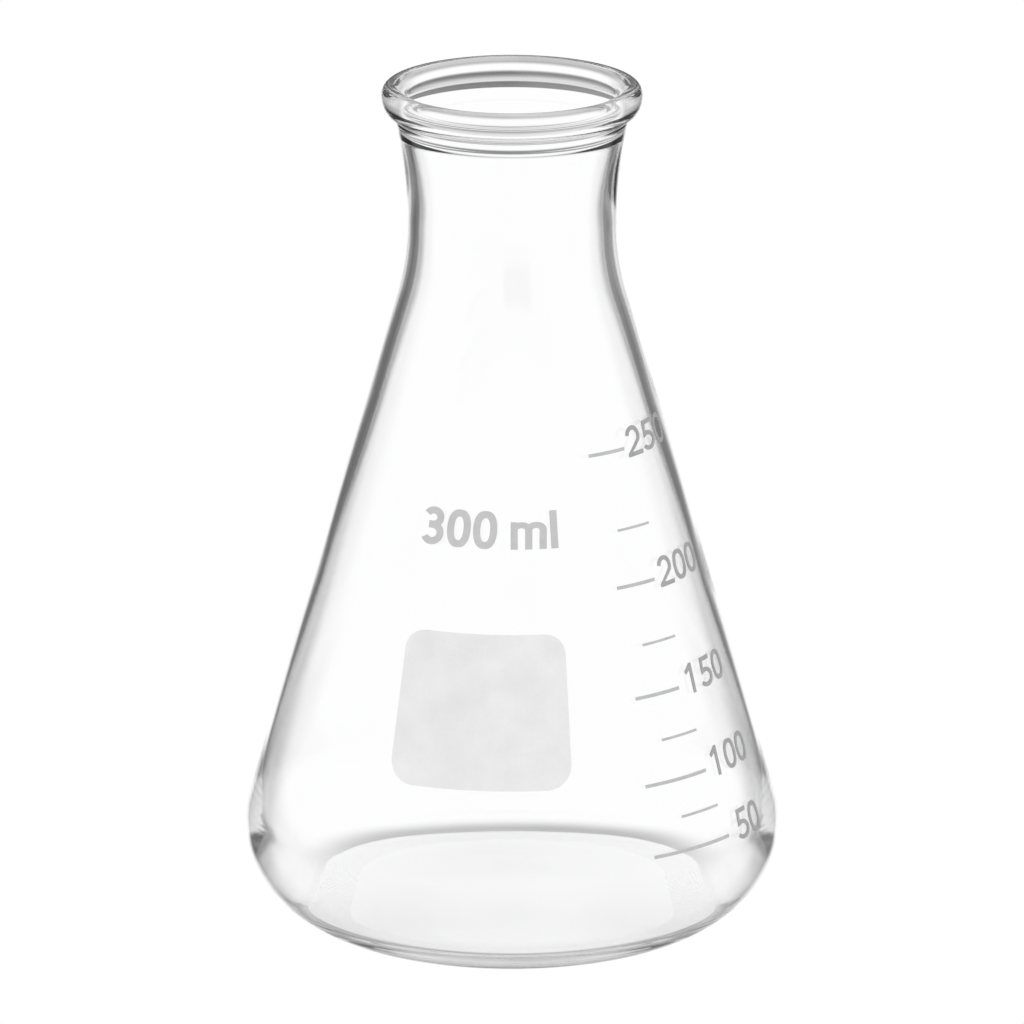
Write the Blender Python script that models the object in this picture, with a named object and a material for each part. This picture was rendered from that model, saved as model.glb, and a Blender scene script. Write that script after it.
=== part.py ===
"""A 300 ml Erlenmeyer flask with a narrow neck and a heavy rim, and the enamel marks fired on it.

Metres, +Z up. The origin is the middle of the base, on the surface that the flask stands on, and the
marks face -Y. One blown glass body carries every mark: a patch to write on, the capacity, nine
graduation lines and the numerals of the long lines.
"""

import math

import bmesh
import bpy
from mathutils import Vector

# The flask's section, outside
BODY_R = 0.0435  # widest, just above the heel
HEEL_SIDE_R = 0.01497  # heel arc that meets the cone
HEEL_LOW_R = 0.0173  # heel arc that meets the base's corner
HEEL_SPLIT = math.radians(-20.0)  # outward slope where one heel arc hands over to the other
CORNER_R = 0.0015  # small arc from the heel into the flat ring
CORNER_SLOPE = math.radians(-67.0)  # outward slope where the corner's arc starts
NECK_R = 0.01683  # narrowest
NECK_Z = 0.11664
SHOULDER_R = 0.0468  # hollow curve from cone to neck
FLARE_R = 0.0727  # the neck's outward curve up to the rim
RIM_FOOT_Z = 0.1326  # the neck ends here in a crease
CREASE = (0.0189, 0.1334)  # the rim's underside starts here
RIM_R = 0.0210
RIM_Z = 0.13691  # height of the rim's widest circle
RIM_TOP = 0.00171  # its rise from there to the top
RIM_CROWN = 0.00139  # how far in from the widest circle the top lies
RIM_FLANK = (0.00288, 0.0036)  # width and height of the bulge's lower quarter
RIM_FLANK_START = math.radians(-50.3)

# The flask's section, inside
WALLS = (  # height and thickness
    (0.0087, 0.0022),
    (0.0207, 0.0009),
    (0.0587, 0.00145),
    (0.0887, 0.0020),
    (0.1027, 0.0021),
    (0.1167, 0.00186),
    (0.1297, 0.00155),
)
WALL_START = math.radians(6.0)  # outward slope on the heel's upper arc where the wall starts
MOUTH = (0.0170, 0.13674)  # narrowest place of the mouth
OVERHANG_R = 0.0024  # the mouth's underside curves away into the bore
OVERHANG_TURN = math.radians(60.0)
KINK = (0.0170, 0.13324)  # the bore widens from here to the overhang
FLOOR_MID_Z = 0.00304
FLOOR_EDGE = (0.0316, 0.00214)
HEEL_FULLNESS = 0.645  # how far the inner heel's curve reaches into its corner

# The base
FOOT_IN_R = 0.0260  # inner edge of the flat ring that the flask stands on
PUNT_RISE = 0.00065

SPIN_STEPS = 56

# The enamel
ENAMEL = 0.00012
ENAMEL_GAP = 0.00004
SLICE = 0.0009  # an enamel mark is cut this fine to follow the curve of the glass
ZERO_STEPS = 30
LABEL_AZ = math.radians(-7.9)  # turned left of the front
SPOT_Z = (0.0321, 0.0561)
SPOT_W = (0.0297, 0.0265)  # at the bottom and at the top
SPOT_CORNER = 0.0037
CAPACITY_Z = 0.0692
CAPACITY_H = 0.0061
CAPACITY_STROKE = 0.00115
LINE_H = 0.00055
SHORT_LINE_H = 0.00040
NUMERAL_H = 0.0049
NUMERAL_W = 0.0037
NUMERAL_PITCH = 0.0044
NUMERAL_STROKE = 0.00070
NUMERAL_DROP = 0.0016  # a numeral's foot is this far under its line

# Millilitres: height of the line, and the azimuths of its two ends
GRADUATIONS = {
    50: (0.0200, 32.3, 54.7),
    75: (0.0252, 41.4, 53.2),
    100: (0.0310, 32.7, 51.8),
    125: (0.0375, 39.6, 51.7),
    150: (0.0446, 33.7, 48.6),
    175: (0.0525, 38.8, 51.4),
    200: (0.0619, 33.2, 48.0),
    225: (0.0706, 36.9, 50.8),
    250: (0.0827, 29.7, 46.4),
}
# Millilitres: the azimuth at which its numeral starts
NUMERALS = {50: 58.5, 100: 54.2, 150: 51.6, 200: 50.4, 250: 48.4}
PLACES = {2: ("tens", "units"), 3: ("hundreds", "tens", "units")}

GLASS_COLOUR = (0.93, 0.97, 0.95, 1.0)
SPOT_COLOUR = (0.80, 0.81, 0.81, 1.0)
PRINT_COLOUR = (0.55, 0.56, 0.56, 1.0)


# Outlines ---------------------------------------------------------------------------------------


def polar(angle):
    return Vector((math.cos(angle), math.sin(angle)))


def arc(centre, width, height, start, end, steps):
    """Points along an ellipse's arc, both ends included."""
    angles = (start + (end - start) * i / steps for i in range(steps + 1))
    return [centre + Vector((width * math.cos(a), height * math.sin(a))) for a in angles]


def round_arc(centre, radius, start, end, steps):
    return arc(centre, radius, radius, start, end, steps)


def bezier(start, start_handle, end_handle, end, steps):
    points = []
    for i in range(steps + 1):
        t = i / steps
        s = 1 - t
        near = start * s**3 + start_handle * 3 * s * s * t
        points.append(near + end_handle * 3 * s * t * t + end * t**3)
    return points


def rounded_step(start, end, steps):
    """Points from one to the other, level at both ends, like half a wave."""
    points = []
    for i in range(steps + 1):
        t = i / steps
        blend = 0.5 - 0.5 * math.cos(math.pi * t)
        points.append(Vector((start.x + (end.x - start.x) * t, start.y + (end.y - start.y) * blend)))
    return points


def heel_centres():
    """Centres of the heel's arcs: the one over the base's corner and the one under the cone."""
    low_z = CORNER_R - (HEEL_LOW_R - CORNER_R) * math.sin(CORNER_SLOPE)
    across = polar(HEEL_SPLIT) * (HEEL_LOW_R - HEEL_SIDE_R)
    low = Vector((BODY_R - HEEL_SIDE_R - across.x, low_z))
    return low, low + across


def cone():
    """The straight cone's foot, its top and its outward slope."""
    side = heel_centres()[1]
    shoulder = Vector((NECK_R + SHOULDER_R, NECK_Z))
    across = shoulder - side
    slope = math.atan2(across.y, across.x) - math.acos((HEEL_SIDE_R + SHOULDER_R) / across.length)
    return side + polar(slope) * HEEL_SIDE_R, shoulder - polar(slope) * SHOULDER_R, slope


def facing_arc(centre, radius, start, end, steps, hollow=False):
    """(point, outward direction) pairs along an arc that bulges, or that hollows the glass."""
    pairs = []
    for i in range(steps + 1):
        direction = polar(start + (end - start) * i / steps)
        pairs.append((centre + direction * radius, -direction if hollow else direction))
    return pairs


def heel_side():
    """(point, outward direction) pairs from the base's flat ring to the cone."""
    low, side = heel_centres()
    corner = low + polar(CORNER_SLOPE) * (HEEL_LOW_R - CORNER_R)
    pairs = facing_arc(corner, CORNER_R, -math.pi / 2, CORNER_SLOPE, 1)
    pairs += facing_arc(low, HEEL_LOW_R, CORNER_SLOPE, HEEL_SPLIT, 7)[1:]
    return pairs + facing_arc(side, HEEL_SIDE_R, HEEL_SPLIT, cone()[2], 5)[1:]


def upper_side():
    """(point, outward direction) pairs from the cone's foot to the rim's."""
    foot, top, slope = cone()
    shoulder = Vector((NECK_R + SHOULDER_R, NECK_Z))
    flare = Vector((NECK_R + FLARE_R, NECK_Z))
    flare_end = math.pi - math.asin((RIM_FOOT_Z - NECK_Z) / FLARE_R)
    pairs = [(foot.lerp(top, i / 6), polar(slope)) for i in range(6)]
    pairs += facing_arc(shoulder, SHOULDER_R, math.pi + slope, math.pi, 5, hollow=True)
    return pairs + facing_arc(flare, FLARE_R, math.pi, flare_end, 4, hollow=True)[1:]


def wall(height):
    """Thickness of the glass at a height, eased between the listed places."""
    if height <= WALLS[0][0]:
        return WALLS[0][1]
    for (low_z, low), (high_z, high) in zip(WALLS, WALLS[1:]):
        if height <= high_z:
            t = (height - low_z) / (high_z - low_z)
            return low + (high - low) * t * t * (3 - 2 * t)
    return WALLS[-1][1]


def rim_outside():
    """The bulge round the mouth, from its underside up and over the top."""
    width, height = RIM_FLANK
    flank = arc(Vector((RIM_R - width, RIM_Z)), width, height, RIM_FLANK_START, 0.0, 5)
    crown = arc(Vector((RIM_R - RIM_CROWN, RIM_Z)), RIM_CROWN, RIM_TOP, 0.0, math.pi / 2, 4)
    return [Vector(CREASE)] + flank + crown[1:]


def mouth_inside():
    """From the rim's top into the mouth and back out under its overhang."""
    crown_r = RIM_R - RIM_CROWN
    mouth_r, mouth_z = MOUTH
    rise = RIM_Z + RIM_TOP - mouth_z
    lip = arc(Vector((crown_r, mouth_z)), crown_r - mouth_r, rise, math.pi / 2, math.pi, 5)
    under = Vector((mouth_r + OVERHANG_R, mouth_z))
    return lip[1:] + round_arc(under, OVERHANG_R, math.pi, math.pi + OVERHANG_TURN, 3)[1:]


def crossing(start, along, end, back):
    """Where a line from start meets a line that runs back from end."""
    gap = end - start
    reach = (gap.x * back.y - gap.y * back.x) / (along.x * back.y - along.y * back.x)
    return start + along * reach


def inside_up():
    """The inside from the floor's edge, round the heel and up the bore to its kink."""
    side = heel_centres()[1]
    faces = facing_arc(side, HEEL_SIDE_R, WALL_START, cone()[2], 2)[:-1] + upper_side()
    bore = [point - out * wall(point.y) for point, out in faces]
    edge = Vector(FLOOR_EDGE)
    corner = crossing(edge, Vector((1.0, 0.0)), bore[0], bore[0] - bore[1])
    near = edge.lerp(corner, HEEL_FULLNESS)
    far = bore[0].lerp(corner, HEEL_FULLNESS)
    return bezier(edge, near, far, bore[0], 8)[:-1] + bore + [Vector(KINK)]


def flask_profile():
    """The whole closed section, from the middle of the underside round to the middle of the floor."""
    outside = [point for point, _ in heel_side() + upper_side()[1:]]
    punt = rounded_step(Vector((0.0, PUNT_RISE)), Vector((FOOT_IN_R, 0.0)), 6)
    floor = rounded_step(Vector(FLOOR_EDGE), Vector((0.0, FLOOR_MID_Z)), 6)
    return punt + outside + rim_outside() + mouth_inside() + inside_up()[::-1] + floor[1:]


def outer_point(height):
    """(radius, outward slope) of the glass at a height on the heel's upper arc or the cone."""
    foot, _, slope = cone()
    side = heel_centres()[1]
    if height < foot.y:
        slope = math.asin((height - side.y) / HEEL_SIDE_R)
        return side.x + HEEL_SIDE_R * math.cos(slope), slope
    return foot.x - (height - foot.y) * math.tan(slope), slope


# Glyphs, as flat meshes in their own plane, standing on y = 0 with their left edge at x = 0 --------


def flat_outline(points):
    """One flat face with this outline, cut into upright slices."""
    flat = bmesh.new()
    flat.faces.new([flat.verts.new((x, y, 0.0)) for x, y in points])
    right = max(x for x, _ in points)
    left = min(x for x, _ in points)
    cuts = int((right - left) / SLICE)
    for i in range(1, cuts + 1):
        x = left + (right - left) * i / (cuts + 1)
        geometry = flat.verts[:] + flat.edges[:] + flat.faces[:]
        bmesh.ops.bisect_plane(flat, geom=geometry, dist=1e-7, plane_co=(x, 0, 0), plane_no=(1, 0, 0))
    return flat


def bar(width, height):
    return flat_outline([(0.0, 0.0), (width, 0.0), (width, height), (0.0, height)])


def zero(height, width, stroke):
    """An upright ring with flattened sides."""
    flat = bmesh.new()
    rings = []
    for inset in (0.0, stroke):
        ring = []
        for i in range(ZERO_STEPS):
            c, s = polar(2 * math.pi * i / ZERO_STEPS)
            x = width / 2 + (width / 2 - inset) * math.copysign(abs(c) ** 0.8, c)
            y = height / 2 + (height / 2 - inset) * math.copysign(abs(s) ** 0.9, s)
            ring.append(flat.verts.new((x, y, 0.0)))
        rings.append(ring)
    outer, inner = rings
    for i in range(ZERO_STEPS):
        j = (i + 1) % ZERO_STEPS
        flat.faces.new((outer[i], outer[j], inner[j], inner[i]))
    return flat


def one(height, width, stroke):
    """A stem with a short flag to its left."""
    left = width * 0.42
    flag_x = width * 0.08
    flag_y = height * 0.77
    shoulder = (left + stroke * 0.2, height)
    flag = [(flag_x, flag_y), (flag_x + stroke * 0.35, flag_y - stroke * 0.75), (left, height * 0.79)]
    stem = [(left, 0.0), (left + stroke, 0.0), (left + stroke, height)]
    return flat_outline(stem + [shoulder] + flag)


def two(height, width, stroke):
    """A bowl that runs down into a straight diagonal and a foot."""
    radius = width * 0.47
    bowl = Vector((width * 0.48, height - radius))
    outside = round_arc(bowl, radius, math.radians(168), math.radians(-30), 14)
    inside = round_arc(bowl, radius - stroke, math.radians(-30), math.radians(168), 11)
    foot = [(stroke * 1.45, stroke), (width, stroke), (width, 0.0), (0.0, 0.0), (0.0, stroke * 0.75)]
    return flat_outline(outside + foot + inside)


def three(height, width, stroke):
    """Two bowls, the lower one wider, that share a short bar."""
    waist = height * 0.53
    upper_h = (height - waist + stroke / 2) / 2
    lower_h = (waist + stroke / 2) / 2
    upper = Vector((width * 0.46, height - upper_h))
    lower = Vector((width * 0.48, lower_h))
    upper_w = width * 0.94 - upper.x
    lower_w = width - lower.x
    dip = math.asin(1 - stroke / 2 / upper_h)
    rise = math.asin(1 - stroke / 2 / lower_h)
    tip = math.radians(150)
    outside = arc(upper, upper_w, upper_h, tip, -dip, 12)
    outside += arc(lower, lower_w, lower_h, rise, -tip, 12)
    inside = arc(lower, lower_w - stroke, lower_h - stroke, -tip, math.pi / 2, 10)
    inside += [Vector((width * 0.3, waist - stroke / 2)), Vector((width * 0.3, waist + stroke / 2))]
    inside += arc(upper, upper_w - stroke, upper_h - stroke, -math.pi / 2, tip, 10)
    return flat_outline(outside + inside)


def five(height, width, stroke):
    """A bowl under a short stem, with a bar to the right at the top."""
    bowl_w = width * 0.56
    bowl_h = height * 0.32
    bowl = Vector((width - bowl_w, bowl_h))
    stem = width * 0.12
    top = width * 0.18
    start = math.acos((stem + stroke - bowl.x) / bowl_w)
    tip = math.radians(-145)
    outside = arc(bowl, bowl_w, bowl_h, start, tip, 14)
    inside = arc(bowl, bowl_w - stroke, bowl_h - stroke, tip, math.radians(125), 11)
    head = [(stem, height * 0.44), (top, height), (width * 0.95, height)]
    head += [(width * 0.95, height - stroke), (top + stroke, height - stroke)]
    return flat_outline(outside + inside + head)


def letter_l(height, width, stroke):
    return bar(width, height)


def letter_m(height, width, stroke):
    """Two arches on three stems, as tall as a small letter."""
    x_height = height * 0.72
    bay = (width - stroke) / 2  # from one stem's left edge to the next one's
    rise = bay * 0.55
    half = (bay + stroke) / 2
    first = Vector((half, x_height - rise))
    second = first + Vector((bay, 0.0))
    spur = stroke * 0.9
    leave = math.acos((spur - half) / half)
    notch = math.acos(bay / 2 / half)
    points = [(0.0, 0.0), (0.0, x_height), (spur, x_height)]
    points += arc(first, half, rise, leave, notch, 7)
    points += arc(second, half, rise, math.pi - notch, 0.0, 10)[1:]
    points += [(width, 0.0), (width - stroke, 0.0)]
    points += arc(second, half - stroke, rise - stroke * 0.85, 0.0, math.pi, 8)
    points += [(bay + stroke, 0.0), (bay, 0.0)]
    points += arc(first, half - stroke, rise - stroke * 0.85, 0.0, math.pi, 8)
    return flat_outline(points + [(stroke, 0.0)])


GLYPHS = {"0": zero, "1": one, "2": two, "3": three, "5": five, "m": letter_m, "l": letter_l}


# Solids -----------------------------------------------------------------------------------------


def material(name, colour, roughness):
    made = bpy.data.materials.new(name)
    made.use_nodes = True
    shader = made.node_tree.nodes["Principled BSDF"]
    shader.inputs["Base Color"].default_value = colour
    shader.inputs["Roughness"].default_value = roughness
    shader.inputs["Metallic"].default_value = 0.0
    return made


def glass_material():
    made = material("borosilicate_glass", GLASS_COLOUR, 0.02)
    made.node_tree.nodes["Principled BSDF"].inputs["Transmission Weight"].default_value = 1.0
    return made


def add_object(name, mesh_data, look):
    mesh = bpy.data.meshes.new(name)
    bmesh.ops.recalc_face_normals(mesh_data, faces=mesh_data.faces[:])
    mesh_data.to_mesh(mesh)
    mesh_data.free()
    mesh.materials.append(look)
    mesh.shade_smooth()
    mesh.set_sharp_from_angle(angle=math.radians(35))
    made = bpy.data.objects.new(name, mesh)
    bpy.context.scene.collection.objects.link(made)
    return made


def make_flask(look):
    """The section spun once round the flask's axis."""
    turned = bmesh.new()
    ring = [turned.verts.new((p.x, 0.0, p.y)) for p in flask_profile()]
    edges = [turned.edges.new(pair) for pair in zip(ring, ring[1:])]
    bmesh.ops.spin(
        turned,
        geom=ring + edges,
        cent=(0, 0, 0),
        axis=(0, 0, 1),
        angle=2 * math.pi,
        steps=SPIN_STEPS,
        use_merge=True,
    )
    bmesh.ops.remove_doubles(turned, verts=turned.verts[:], dist=1e-6)
    return add_object("flask_body", turned, look)


def on_glass(azimuth, height, lift):
    """The point this far outside the glass, straight out from its surface."""
    radius, slope = outer_point(height)
    radius += lift * math.cos(slope)
    return (radius * math.sin(azimuth), -radius * math.cos(azimuth), height + lift * math.sin(slope))


def add_enamel(name, flat, azimuth, foot_z, look):
    """A flat shape laid on the glass, its x = 0 at this azimuth, and given the enamel's thickness."""
    solid = bmesh.new()
    low = {}
    high = {}
    for vert in flat.verts:
        along = outer_point(foot_z)[1]
        height = foot_z + vert.co.y * math.cos(along)
        turn = azimuth + vert.co.x / outer_point(height)[0]
        low[vert] = solid.verts.new(on_glass(turn, height, ENAMEL_GAP))
        high[vert] = solid.verts.new(on_glass(turn, height, ENAMEL_GAP + ENAMEL))
    for face in flat.faces:
        solid.faces.new([high[v] for v in face.verts])
        solid.faces.new([low[v] for v in reversed(face.verts)])
    for edge in flat.edges:
        if edge.is_boundary:
            a, b = edge.verts
            solid.faces.new((low[a], low[b], high[b], high[a]))
    flat.free()
    return add_object(name, solid, look)


def make_spot(look):
    """The patch to write on: a rounded square that widens downwards."""
    bottom_z, top_z = SPOT_Z
    slope = outer_point(bottom_z)[1]
    height = (top_z - bottom_z) / math.cos(slope)
    low, high = (w / 2 for w in SPOT_W)
    r = SPOT_CORNER
    corners = (
        (Vector((low - r, r)), -90.0),
        (Vector((high - r, height - r)), 0.0),
        (Vector((r - high, height - r)), 90.0),
        (Vector((r - low, r)), 180.0),
    )
    points = []
    for centre, start in corners:
        points += round_arc(centre, r, math.radians(start), math.radians(start + 90), 6)
    add_enamel("marking_spot", flat_outline([tuple(p) for p in points]), LABEL_AZ, bottom_z, look)


def make_capacity(look):
    """The capacity in bold: each glyph's node, its width and the gap after it."""
    glyphs = (
        ("capacity_3", "3", 0.00385, 0.00065),
        ("capacity_0_first", "0", 0.0039, 0.00055),
        ("capacity_0_second", "0", 0.0039, 0.0023),
        ("capacity_m", "m", 0.0058, 0.00078),
        ("capacity_l", "l", CAPACITY_STROKE, 0.0),
    )
    total = sum(width + gap for _, _, width, gap in glyphs)
    radius = outer_point(CAPACITY_Z)[0]
    left = -total / 2
    for node, glyph, width, gap in glyphs:
        flat = GLYPHS[glyph](CAPACITY_H, width, CAPACITY_STROKE)
        add_enamel(node, flat, LABEL_AZ + left / radius, CAPACITY_Z, look)
        left += width + gap


def make_graduations(look):
    for mark, (height, start, end) in GRADUATIONS.items():
        thickness = LINE_H if mark in NUMERALS else SHORT_LINE_H
        foot = height - thickness / 2
        length = math.radians(end - start) * outer_point(foot)[0]
        add_enamel(f"line_{mark:03d}", bar(length, thickness), math.radians(start), foot, look)


def make_numerals(look):
    for mark, start in NUMERALS.items():
        digits = str(mark)
        foot = GRADUATIONS[mark][0] - NUMERAL_DROP
        radius = outer_point(foot)[0]
        for i, (digit, place) in enumerate(zip(digits, PLACES[len(digits)])):
            flat = GLYPHS[digit](NUMERAL_H, NUMERAL_W, NUMERAL_STROKE)
            turn = math.radians(start) + i * NUMERAL_PITCH / radius
            add_enamel(f"numeral_{mark:03d}_{place}", flat, turn, foot, look)


def main():
    for old in list(bpy.data.objects):
        bpy.data.objects.remove(old)
    make_flask(glass_material())
    make_spot(material("spot_enamel", SPOT_COLOUR, 0.55))
    print_look = material("print_enamel", PRINT_COLOUR, 0.5)
    make_capacity(print_look)
    make_graduations(print_look)
    make_numerals(print_look)


main()
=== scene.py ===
"""Looks of the 300 ml Erlenmeyer flask: the fine blown glass, the fired enamel marks and the studio.

Metres, +Z up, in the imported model's frame. The base stands on z = 0 and the marks face -Y.
"""

import math

import bmesh
import bpy
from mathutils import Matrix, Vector


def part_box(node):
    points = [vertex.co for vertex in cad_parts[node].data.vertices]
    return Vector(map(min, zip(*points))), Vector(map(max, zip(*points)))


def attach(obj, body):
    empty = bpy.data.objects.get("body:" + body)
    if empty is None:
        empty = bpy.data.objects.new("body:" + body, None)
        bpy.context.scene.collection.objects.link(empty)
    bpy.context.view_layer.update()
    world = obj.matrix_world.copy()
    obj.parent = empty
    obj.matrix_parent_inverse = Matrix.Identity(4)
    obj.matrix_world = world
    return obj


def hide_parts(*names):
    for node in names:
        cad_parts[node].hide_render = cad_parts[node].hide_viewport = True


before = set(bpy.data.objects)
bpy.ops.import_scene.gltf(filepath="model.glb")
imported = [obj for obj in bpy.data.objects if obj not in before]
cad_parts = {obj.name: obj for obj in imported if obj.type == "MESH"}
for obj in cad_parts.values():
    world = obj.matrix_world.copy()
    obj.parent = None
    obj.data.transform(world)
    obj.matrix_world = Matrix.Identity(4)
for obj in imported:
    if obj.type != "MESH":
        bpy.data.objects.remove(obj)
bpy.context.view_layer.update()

# The flask's section, outside, as (radius, height)
FLASK_LOW, FLASK_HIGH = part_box("flask_body")
BODY_R = (FLASK_HIGH.x - FLASK_LOW.x) / 2
HEEL_SIDE_R = 0.01497
HEEL_LOW_R = 0.0173
HEEL_SPLIT = math.radians(-20.0)  # direction in which the heel's two arcs meet
CORNER_R = 0.0015
CORNER_SLOPE = math.radians(-67.0)  # direction in which the foot's corner meets the heel
NECK_R = 0.01683
NECK_Z = 0.11664  # the neck is narrowest here
SHOULDER_R = 0.0468  # hollow curve below the narrowest place
FLARE_R = 0.0727  # hollow curve above it
RIM_FOOT_Z = 0.1326
CREASE = Vector((0.0189, 0.1334))
CREASE_PULL = 0.4
RIM_R = 0.0210
RIM_Z = 0.13691
RIM_TOP = 0.00171
RIM_CROWN = 0.00139
RIM_FLANK = (0.00288, 0.0036)
RIM_FLANK_START = math.radians(-50.3)
PUNT_R = 0.0260  # the raised middle of the underside
PUNT_RISE = 0.00065
PUNT_POWER = 1.28
PUNT_STEPS = 39

# The flask's section, inside
WALLS = (  # height and thickness
    (0.0067, 0.0022),
    (0.0267, 0.0009),
    (0.0587, 0.00145),
    (0.0887, 0.0020),
    (0.1027, 0.0021),
    (0.1167, 0.00186),
    (0.1297, 0.00155),
)
FLOOR_MID_Z = 0.00304
FLOOR_EDGE = Vector((0.0316, 0.00214))
FLOOR_SLOPE = 0.03
FLOOR_STEPS = 29
HEEL_TO_Z = 0.0167  # outside height from which the wall follows WALLS; the heel's curve is below
HEEL_FULLNESS = 0.645
BORE_TO_Z = 0.1314  # outside height up to which the wall follows WALLS; the throat is above
MOUTH = Vector((0.0170, 0.13674))  # narrowest place of the mouth
OVERHANG_R = 0.0024
OVERHANG_TURN = math.radians(60.0)
KINK = Vector((0.0170, 0.13324))  # the throat bends here, from the bore to the overhang
KINK_ROUND = 0.0013
KINK_PULL = 0.6

# Uneven inner wall
GROOVE = 0.0003  # depth of the shallow groove inside the neck
GROOVE_Z = 0.1314
GROOVE_W = 0.0005
GROOVE_FADE = (50, 130)  # degrees from the front over which the groove fades out
WAVE = 0.00005  # how far the blown wall wanders
WAVE_FROM = (0.020, 0.045)  # heights over which the wandering sets in
WAVE_TO = (0.134, 0.120)  # heights over which it dies away, from the top down

SPIN_STEPS = 192
WORN_R = (0.0262, 0.0330)  # the ring that rubs on the bench
WORN_Z = 0.0003

# Looks
CLEAR_TINTS = ((0.990, 0.992, 0.991), (0.994, 0.996, 0.995))
GLASS_IOR = 1.474
NOISE_RANGE = (0.3, 0.7)  # a noise texture seldom leaves it
GRAIN_SCALE = 5200
GRAIN_SHARE = 0.35
GRAIN_GLOSS = 0.08
GRAIN_HEIGHT = 0.00002
ENAMELS = {  # by a node name's first word: material, darkest, lightest, roughness, blotches to the metre
    "marking": ("writing_spot_enamel", 0.76, 0.86, 0.55, 160),
    "capacity": ("capacity_enamel", 0.51, 0.59, 0.5, 420),
    "line": ("line_enamel", 0.46, 0.56, 0.5, 700),
    "numeral": ("numeral_enamel", 0.32, 0.42, 0.5, 700),
}

# Studio
CAMERA_DISTANCE = 1.7
CAMERA_PITCH = math.radians(16.27)
VIEW_TURN = (math.pi / 2 - CAMERA_PITCH, 0, 0)
AIM_Z = 0.06714
LENS = 368.25
FLOOR_R = 4.0
FLOOR_DROP = 0.0002
LIGHT_BOUNCES = 32

# The tent's brightness; each pair is where a soft edge starts and ends, in degrees from straight behind
TENT_R = 3.2
WINDOW_SIDE = (14, 22)
WINDOW_TOP = (5, 14)
WINDOW_FOOT = (9, 23)
SURROUND_SIDE = (42, 57)  # the dim surround gives way to white
SURROUND_LEFT = 0.15
SURROUND_RIGHT = 0.20
HIGHER = (15, 38)
HIGHER_GAIN = 0.60
LOWER = (8, 30)
LOWER_GAIN = 0.38
ENDS = (60, 90)
ROOF = 0.45
GROUND = 1.0


def polar(angle):
    """The unit direction at an angle."""
    return Vector((math.cos(angle), math.sin(angle)))


def arc(centre, width, height, start, end, steps):
    """Points along a stretch of an ellipse."""
    angles = (start + (end - start) * i / steps for i in range(steps + 1))
    return [centre + Vector((width * math.cos(a), height * math.sin(a))) for a in angles]


def bezier(a, b, c, d, steps):
    """Points along a cubic curve."""
    out = []
    for i in range(steps + 1):
        t = i / steps
        s = 1 - t
        out.append(a * s ** 3 + b * 3 * s * s * t + c * 3 * s * t * t + d * t ** 3)
    return out


def ease(low, high, x):
    """Rises smoothly from 0 at low to 1 at high, where low may also be the greater."""
    t = min(max((x - low) / (high - low), 0.0), 1.0)
    return t * t * (3 - 2 * t)


def swept(centre, radius, start, end, steps, outward=1):
    """(point, outward direction) pairs along an arc; outward is -1 where the arc is hollow."""
    angles = (start + (end - start) * i / steps for i in range(steps + 1))
    return [(centre + polar(a) * radius, polar(a) * outward) for a in angles]


def heel_centres():
    """Centres of the foot's corner, the heel's lower arc and its side arc."""
    low = Vector((0.0, CORNER_R - math.sin(CORNER_SLOPE) * (HEEL_LOW_R - CORNER_R)))
    side = low + polar(HEEL_SPLIT) * (HEEL_LOW_R - HEEL_SIDE_R)
    shift = Vector((BODY_R - HEEL_SIDE_R - side.x, 0.0))
    low += shift
    side += shift
    corner = low + polar(CORNER_SLOPE) * (HEEL_LOW_R - CORNER_R)
    return corner, low, side


def outer_side(top_z):
    """(point, outward direction) pairs up the outside, from the flat ring to a height in the flare."""
    corner, low, side = heel_centres()
    shoulder = Vector((NECK_R + SHOULDER_R, NECK_Z))
    flare = Vector((NECK_R + FLARE_R, NECK_Z))
    across = shoulder - side
    slope = math.atan2(across.y, across.x) - math.acos((HEEL_SIDE_R + SHOULDER_R) / across.length)
    flare_end = math.pi - math.asin((top_z - NECK_Z) / FLARE_R)
    rows = swept(corner, CORNER_R, -math.pi / 2, CORNER_SLOPE, steps=10)
    rows += swept(low, HEEL_LOW_R, CORNER_SLOPE, HEEL_SPLIT, steps=26)
    rows += swept(side, HEEL_SIDE_R, HEEL_SPLIT, slope, steps=16)
    cone_foot = rows[-1][0]
    cone_top = shoulder + polar(math.pi + slope) * SHOULDER_R
    rows += [(cone_foot.lerp(cone_top, i / 40), polar(slope)) for i in range(1, 40)]
    rows += swept(shoulder, SHOULDER_R, math.pi + slope, math.pi, steps=16, outward=-1)
    rows += swept(flare, FLARE_R, math.pi, flare_end, steps=60, outward=-1)
    return rows


def wall(height):
    """Thickness of the glass at a height."""
    for (z0, t0), (z1, t1) in zip(WALLS, WALLS[1:]):
        if height <= z1:
            return t0 + (t1 - t0) * ease(z0, z1, height)
    return WALLS[-1][1]


def crossing(a, along_a, b, along_b):
    """How far along each direction two lines cross."""
    cross = along_a.x * -along_b.y + along_b.x * along_a.y
    gap = b - a
    far_a = (gap.x * -along_b.y + along_b.x * gap.y) / cross
    far_b = (along_a.x * gap.y - along_a.y * gap.x) / cross
    return far_a, far_b


def rim_outside(neck_up, foot):
    """From the rim's foot over the crease and the bead to the crown."""
    width, height = RIM_FLANK
    flank = arc(Vector((RIM_R - width, RIM_Z)), width, height, RIM_FLANK_START, 0.0, steps=20)
    slope_up = (flank[0] - CREASE).normalized()
    pull = (CREASE - foot).length * CREASE_PULL
    step = bezier(foot, foot + neck_up * pull, CREASE - slope_up * pull, CREASE, steps=8)
    underside = [CREASE.lerp(flank[0], i / 6) for i in range(1, 6)]
    crown = arc(Vector((RIM_R - RIM_CROWN, RIM_Z)), RIM_CROWN, RIM_TOP, 0.0, math.pi / 2, steps=14)
    return step[1:] + underside + flank + crown[1:]


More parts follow.
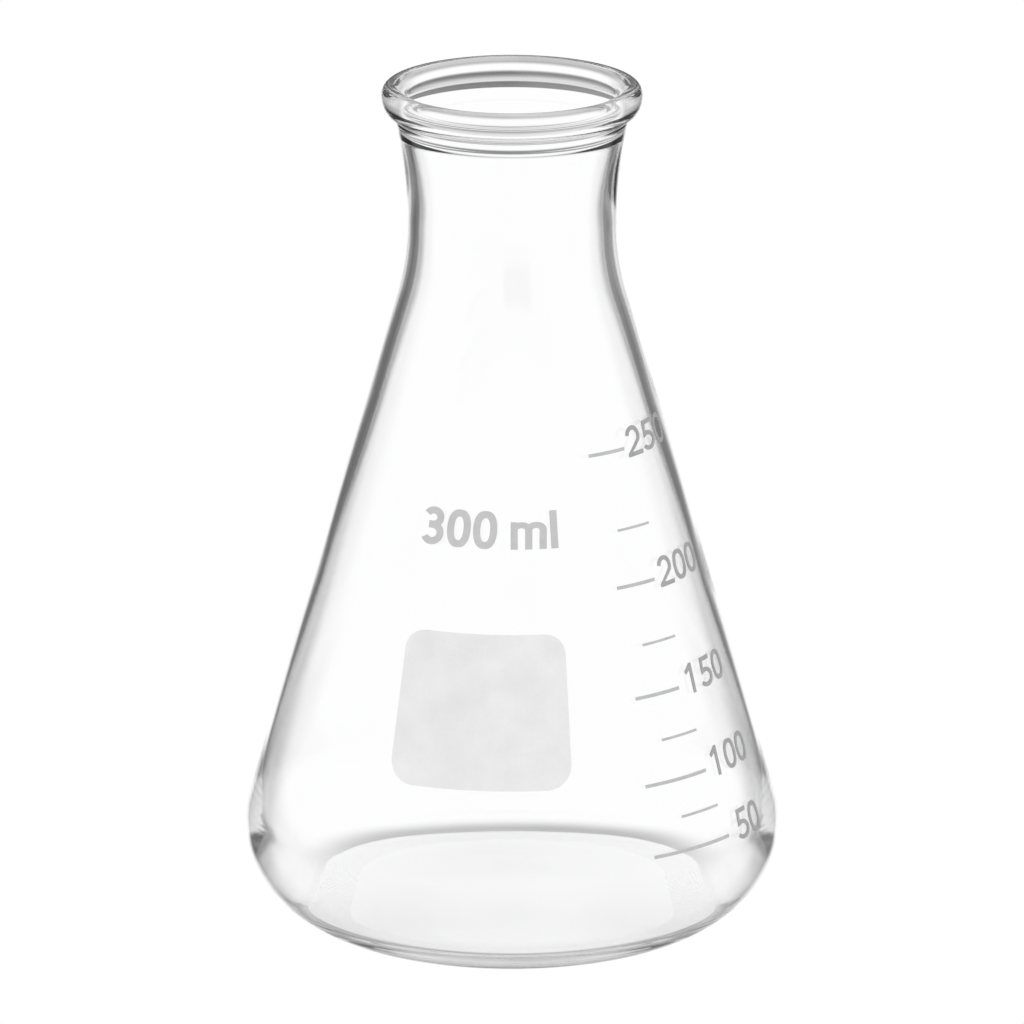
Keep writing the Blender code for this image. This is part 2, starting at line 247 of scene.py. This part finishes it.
def mouth_inside(bore_top):
    """From the crown over the lip and the overhang to the top of the bore."""
    crown_r = RIM_R - RIM_CROWN
    lip_height = RIM_Z + RIM_TOP - MOUTH.y
    lip = arc(Vector((crown_r, MOUTH.y)), crown_r - MOUTH.x, lip_height, math.pi / 2, math.pi, steps=24)
    under = MOUTH + Vector((OVERHANG_R, 0.0))
    overhang = arc(under, OVERHANG_R, OVERHANG_R, math.pi, math.pi + OVERHANG_TURN, steps=14)
    start = overhang[-1]
    up = (start - KINK).normalized()
    down = (bore_top - KINK).normalized()
    near = KINK + up * KINK_ROUND
    far = KINK + down * KINK_ROUND
    throat = [start.lerp(near, i / 6) for i in range(6)]
    throat += bezier(near, near - up * KINK_ROUND * KINK_PULL,
                     far - down * KINK_ROUND * KINK_PULL, far, steps=10)
    throat += [far.lerp(bore_top, i / 4) for i in range(1, 4)]
    return lip[1:] + overhang[1:] + throat[1:]


def inside_up():
    """From the floor's edge round the heel and up the bore."""
    bore = [p - n * wall(p.y) for p, n in outer_side(BORE_TO_Z) if p.y > HEEL_TO_Z]
    along = Vector((1.0, FLOOR_SLOPE))
    up = (bore[1] - bore[0]).normalized()
    out, back = crossing(FLOOR_EDGE, along, bore[0], up)
    low = FLOOR_EDGE + along * out * HEEL_FULLNESS
    high = bore[0] + up * back * HEEL_FULLNESS
    return bezier(FLOOR_EDGE, low, high, bore[0], steps=30)[:-1] + bore


def swell(t):
    """Falls smoothly from 1 in the middle, where t is 0, to 0 at the edge, where t is 1."""
    return 0.5 + 0.5 * math.cos(math.pi * t)


def underside(foot):
    """From the middle of the raised base to its flat ring."""
    points = []
    for i in range(PUNT_STEPS + 1):
        t = i / PUNT_STEPS
        points.append(Vector((PUNT_R * t, PUNT_RISE * swell(t ** PUNT_POWER))))
    points.append(Vector(((PUNT_R + foot.x) / 2, 0.0)))
    return points


def floor_inwards():
    """From the floor's edge to its middle."""
    points = []
    for i in range(1, FLOOR_STEPS + 1):
        t = 1 - i / FLOOR_STEPS
        rise = (FLOOR_MID_Z - FLOOR_EDGE.y) * swell(t)
        points.append(Vector((FLOOR_EDGE.x * t, FLOOR_EDGE.y + rise)))
    return points


def without_repeats(points):
    kept = [points[0]]
    for p in points[1:]:
        if (p - kept[-1]).length > 1e-6:
            kept.append(p)
    return kept


def flask_section():
    """The section from the base's middle round to the floor's middle, and how many points are outside."""
    outside = [p for p, _ in outer_side(RIM_FOOT_Z)]
    neck_up = (outside[-1] - outside[-2]).normalized()
    outer = without_repeats(underside(outside[0]) + outside + rim_outside(neck_up, outside[-1]))
    inside = inside_up()
    inner = without_repeats(mouth_inside(inside[-1]) + inside[::-1] + floor_inwards())
    return outer + inner, len(outer)


def front_share(turn):
    """1 at the front, where the marks are, fading to 0 at the back."""
    off_front = math.acos(max(-1.0, min(1.0, -math.sin(turn))))
    return 1 - ease(*GROOVE_FADE, math.degrees(off_front))


def uneven_radius(p, turn):
    """The inner wall's radius at a section point: a groove in front, and the blown wall's slow wander."""
    groove = GROOVE * front_share(turn) * math.exp(-((p.y - GROOVE_Z) / GROOVE_W) ** 2)
    reach = ease(*WAVE_FROM, p.y) * ease(*WAVE_TO, p.y)
    wander = math.sin(2 * turn + 0.9 + 25 * p.y) + 0.6 * math.sin(3 * turn - 60 * p.y)
    return p.x + groove + WAVE * reach * wander


def add_columns(turned):
    """The section's vertices at each turn; all columns share their first and last vertex, on the axis."""
    section, outer_count = flask_section()
    low = turned.verts.new((0.0, 0.0, section[0].y))
    high = turned.verts.new((0.0, 0.0, section[-1].y))
    columns = []
    for k in range(SPIN_STEPS):
        turn = 2 * math.pi * k / SPIN_STEPS
        column = [low]
        for i in range(1, len(section) - 1):
            p = section[i]
            r = p.x if i < outer_count else uneven_radius(p, turn)
            column.append(turned.verts.new((r * math.cos(turn), r * math.sin(turn), p.y)))
        column.append(high)
        columns.append(column)
    return columns


def is_worn(face):
    middle = face.calc_center_median()
    return WORN_R[0] < middle.xy.length < WORN_R[1] and middle.z < WORN_Z


def linked_object(name, mesh):
    made = bpy.data.objects.new(name, mesh)
    bpy.context.scene.collection.objects.link(made)
    return made


def make_glass():
    """Turn the section about the axis; the worn ring of the base takes the second material."""
    turned = bmesh.new()
    columns = add_columns(turned)
    for k in range(SPIN_STEPS):
        a, b = columns[k], columns[(k + 1) % SPIN_STEPS]
        for i in range(len(a) - 1):
            corners = [a[i], b[i], b[i + 1], a[i + 1]]
            face = turned.faces.new(list(dict.fromkeys(corners)))
            face.material_index = 1 if is_worn(face) else 0
    bmesh.ops.recalc_face_normals(turned, faces=turned.faces[:])
    mesh = bpy.data.meshes.new("glass_body")
    turned.to_mesh(mesh)
    turned.free()
    mesh.shade_smooth()
    mesh.materials.append(glass_look("clear_borosilicate", 0.0, 0.000002, 260))
    mesh.materials.append(glass_look("worn_base_ring", 0.12, 0.00001, 5000))
    return linked_object("glass_body", mesh)


def new_look(name):
    """A material, its node tree and its shader."""
    made = bpy.data.materials.new(name)
    made.use_nodes = True
    return made, made.node_tree, made.node_tree.nodes["Principled BSDF"]


def noise_node(nt, scale, detail):
    """Noise over the object's own coordinates; scale is in cells per metre."""
    place = nt.nodes.new("ShaderNodeTexCoord")
    grain = nt.nodes.new("ShaderNodeTexNoise")
    grain.inputs["Scale"].default_value = scale
    grain.inputs["Detail"].default_value = detail
    nt.links.new(place.outputs["Object"], grain.inputs["Vector"])
    return grain.outputs["Fac"]


def ranged(nt, value, low, high):
    """The value spread from low to high over the noise's usual range."""
    spread = nt.nodes.new("ShaderNodeMapRange")
    spread.inputs["From Min"].default_value = NOISE_RANGE[0]
    spread.inputs["From Max"].default_value = NOISE_RANGE[1]
    spread.inputs["To Min"].default_value = low
    spread.inputs["To Max"].default_value = high
    nt.links.new(value, spread.inputs["Value"])
    return spread.outputs["Result"]


def blended(nt, value, dark, light):
    """A colour between two, by the value."""
    mix = nt.nodes.new("ShaderNodeMix")
    mix.data_type = "RGBA"
    mix.inputs["A"].default_value = (*dark, 1)
    mix.inputs["B"].default_value = (*light, 1)
    nt.links.new(value, mix.inputs["Factor"])
    return mix.outputs["Result"]


def bumped(nt, s, height, strength, distance):
    """Give shader s a fine relief."""
    bump = nt.nodes.new("ShaderNodeBump")
    bump.inputs["Strength"].default_value = strength
    bump.inputs["Distance"].default_value = distance
    nt.links.new(height, bump.inputs["Height"])
    nt.links.new(bump.outputs["Normal"], s.inputs["Normal"])


def glass_look(name, roughness, ripple, ripple_scale):
    """Clear glass: a barely uneven tint and a ripple as tall as ripple, ripple_scale to the metre."""
    made, nt, s = new_look(name)
    tint = ranged(nt, noise_node(nt, 60, 2), 0.0, 1.0)
    nt.links.new(blended(nt, tint, *CLEAR_TINTS), s.inputs["Base Color"])
    s.inputs["Roughness"].default_value = roughness
    s.inputs["IOR"].default_value = GLASS_IOR
    s.inputs["Transmission Weight"].default_value = 1.0
    bumped(nt, s, noise_node(nt, ripple_scale, 1), 1.0, ripple)
    return made


def enamel_look(name, darkest, lightest, roughness, blotch_scale):
    """Fired enamel: soft blotches, a fine grain in colour and gloss, and a faint orange-peel surface."""
    made, nt, s = new_look(name)
    blotch = noise_node(nt, blotch_scale, 3)
    grain = noise_node(nt, GRAIN_SCALE, 2)
    both = nt.nodes.new("ShaderNodeMath")
    both.operation = "MULTIPLY_ADD"
    both.inputs[1].default_value = GRAIN_SHARE
    nt.links.new(grain, both.inputs[0])
    blotch_part = nt.nodes.new("ShaderNodeMath")
    blotch_part.operation = "MULTIPLY"
    blotch_part.inputs[1].default_value = 1 - GRAIN_SHARE
    nt.links.new(blotch, blotch_part.inputs[0])
    nt.links.new(blotch_part.outputs[0], both.inputs[2])
    tone = ranged(nt, both.outputs[0], 0.0, 1.0)
    nt.links.new(blended(nt, tone, grey(darkest), grey(lightest)), s.inputs["Base Color"])
    gloss = ranged(nt, grain, roughness - GRAIN_GLOSS, roughness + GRAIN_GLOSS)
    nt.links.new(gloss, s.inputs["Roughness"])
    bumped(nt, s, grain, 0.25, GRAIN_HEIGHT)
    return made


def grey(level):
    return (level, level, level)


def dress_marks():
    """Give each enamel mark its own tone of fired enamel."""
    looks = {kind: enamel_look(*values) for kind, values in ENAMELS.items()}
    for name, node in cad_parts.items():
        kind = name.split("_")[0]
        if kind in looks:
            node.data.materials.clear()
            node.data.materials.append(looks[kind])


def make_camera():
    """The camera, in front of the flask and looking a little down on it."""
    data = bpy.data.cameras.new("camera")
    data.lens = LENS
    data.sensor_width = 36.0
    data.clip_start = 0.05
    data.clip_end = 20.0
    cam = linked_object("camera", data)
    back = CAMERA_DISTANCE * math.cos(CAMERA_PITCH)
    rise = CAMERA_DISTANCE * math.sin(CAMERA_PITCH)
    cam.location = (0, -back, AIM_Z + rise)
    cam.rotation_euler = VIEW_TURN
    bpy.context.scene.camera = cam


def tent_light(azimuth, elevation):
    """Brightness of the tent in a direction, in degrees from the photo's line of sight past the flask.

    A bright window behind the flask lies in a dim surround, and the tent is white beside and beneath that.
    """
    side = abs(azimuth)
    window = 1 - ease(*WINDOW_SIDE, side)
    window *= 1 - ease(*WINDOW_TOP, elevation)
    window *= 1 - ease(*WINDOW_FOOT, -elevation)
    level = SURROUND_LEFT if azimuth < 0 else SURROUND_RIGHT
    level += HIGHER_GAIN * ease(*HIGHER, elevation)
    level += LOWER_GAIN * ease(*LOWER, -elevation)
    level += (ROOF - level) * ease(*ENDS, elevation)
    level += (GROUND - level) * ease(*ENDS, -elevation)
    light = 1.0 + (level - 1.0) * (1 - ease(*SURROUND_SIDE, side))
    return light + (1.0 - light) * window


def glow(name, attribute=None):
    """White light, or the light that a colour attribute of the mesh holds."""
    made = bpy.data.materials.new(name)
    made.use_nodes = True
    nt = made.node_tree
    nt.nodes.clear()
    out = nt.nodes.new("ShaderNodeOutputMaterial")
    emission = nt.nodes.new("ShaderNodeEmission")
    emission.inputs["Color"].default_value = (1, 1, 1, 1)
    nt.links.new(emission.outputs["Emission"], out.inputs["Surface"])
    if attribute:
        held = nt.nodes.new("ShaderNodeAttribute")
        held.attribute_name = attribute
        nt.links.new(held.outputs["Color"], emission.inputs["Color"])
    return made


def make_tent():
    """A light tent that stands still round the flask, bright behind it and dim beside it."""
    ball = bmesh.new()
    bmesh.ops.create_uvsphere(ball, u_segments=144, v_segments=96, radius=TENT_R)
    mesh = bpy.data.meshes.new("light_tent")
    ball.to_mesh(mesh)
    ball.free()
    shade = mesh.color_attributes.new("light", "FLOAT_COLOR", "POINT")
    for i, v in enumerate(mesh.vertices):
        d = v.co.normalized()
        azimuth = math.degrees(math.atan2(d.x, -d.z))
        value = tent_light(azimuth, math.degrees(math.asin(d.y)))
        shade.data[i].color = (value, value, value, 1)
    mesh.materials.append(glow("tent", "light"))
    mesh.shade_smooth()
    tent = linked_object("light_tent", mesh)
    tent.rotation_euler = VIEW_TURN
    tent.location.z = AIM_Z
    tent.visible_camera = False
    return tent


def make_floor():
    """A plain white disc under the flask that only the camera sees."""
    disc = bmesh.new()
    bmesh.ops.create_circle(disc, cap_ends=True, segments=96, radius=FLOOR_R)
    mesh = bpy.data.meshes.new("floor")
    disc.to_mesh(mesh)
    disc.free()
    mesh.materials.append(glow("floor"))
    floor = linked_object("floor", mesh)
    floor.location.z = -FLOOR_DROP
    floor.visible_transmission = False
    floor.visible_glossy = False
    floor.visible_diffuse = False
    floor.visible_shadow = False
    return floor


def make_world():
    """A plain white background, and enough bounces for light that stays long in thick glass."""
    scene = bpy.context.scene
    world = bpy.data.worlds.new("world")
    world.use_nodes = True
    world.node_tree.nodes["Background"].inputs["Color"].default_value = (1, 1, 1, 1)
    scene.world = world
    scene.view_settings.view_transform = "Standard"
    scene.cycles.max_bounces = LIGHT_BOUNCES
    scene.cycles.transmission_bounces = LIGHT_BOUNCES
    scene.cycles.glossy_bounces = LIGHT_BOUNCES


def main():
    make_camera()
    glass = make_glass()
    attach(glass, "root")
    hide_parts("flask_body")
    dress_marks()
    make_floor()
    make_tent()
    make_world()


main()
